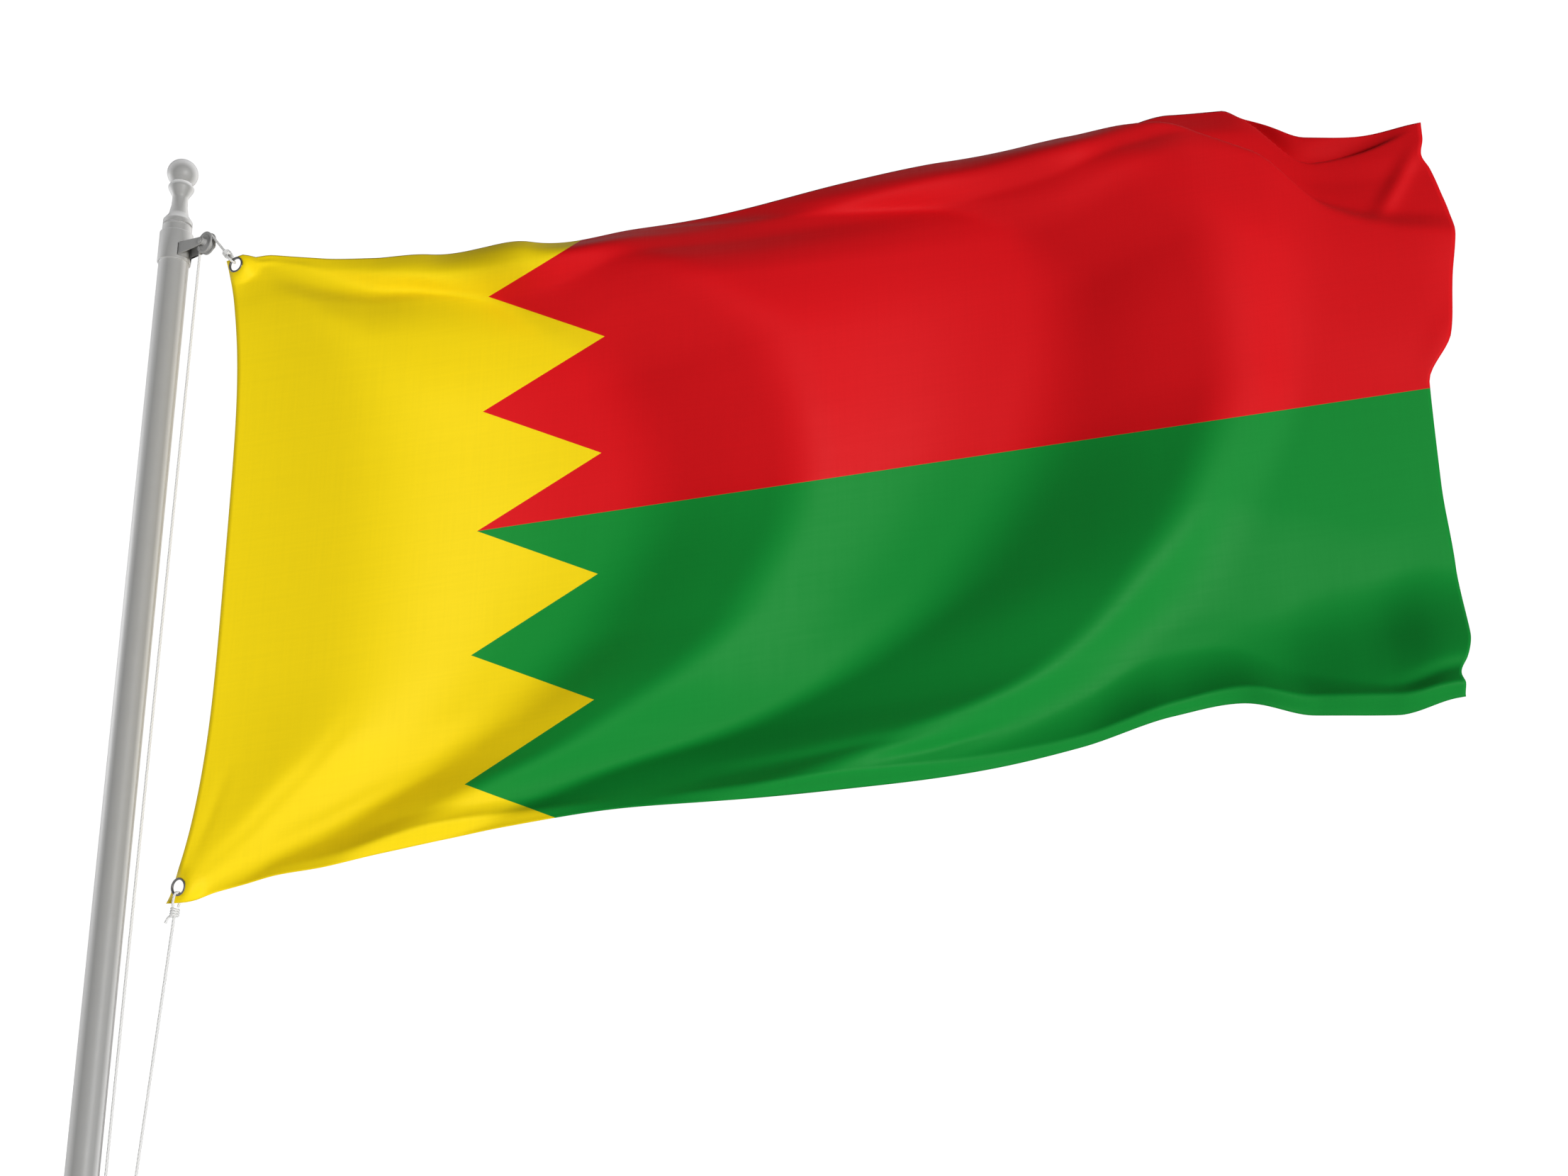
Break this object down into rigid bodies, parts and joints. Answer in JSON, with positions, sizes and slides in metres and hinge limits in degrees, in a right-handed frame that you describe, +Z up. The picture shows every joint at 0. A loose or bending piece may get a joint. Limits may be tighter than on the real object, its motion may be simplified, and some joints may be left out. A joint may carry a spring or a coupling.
{
  "type": "city flag on flagpole",
  "caption": "Waving city flag, yellow at the hoist with a toothed edge, red over green, tied by a halyard over a pulley at the head of a plain pole.",
  "frame": {"origin": "centre of the pole's lower end", "axes": "+Z up along the pole, +X from the pole to the fly of the flag, -Y out of the front of the flag"},
  "size_m": [2.52, 0.2888, 2.4804],
  "materials": {
    "flag_cloth": "smooth woven polyester with a soft sheen, yellow, red and green fields",
    "eyelet_metal": "dull grey pressed metal",
    "halyard_rope": "white twisted rope, matte",
    "pole_metal": "satin light grey",
    "bracket_metal": "satin mid grey"
  },
  "bodies": {
    "flag_on_pole": {"pole": "pole_metal", "head_sleeve": "pole_metal", "finial": "pole_metal", "bracket": "bracket_metal", "wheel_pin": "bracket_metal", "tie_arm": "bracket_metal", "halyard": "halyard_rope", "upper_loop": "halyard_rope", "lower_loop": "halyard_rope", "upper_knot": "halyard_rope", "lower_knot": "halyard_rope", "eyelet_upper": "eyelet_metal", "eyelet_lower": "eyelet_metal", "flag_cloth": "flag_cloth"},
    "pulley": {"pulley_wheel": "bracket_metal"}
  },
  "joints": [
    {"name": "wheel_turn", "type": "hinge", "parent": "flag_on_pole", "child": "pulley", "pos_m": [0.08171, -0.05937, 2.085], "axis": [0.5878, 0.809, 0], "continuous": true}
  ]
}
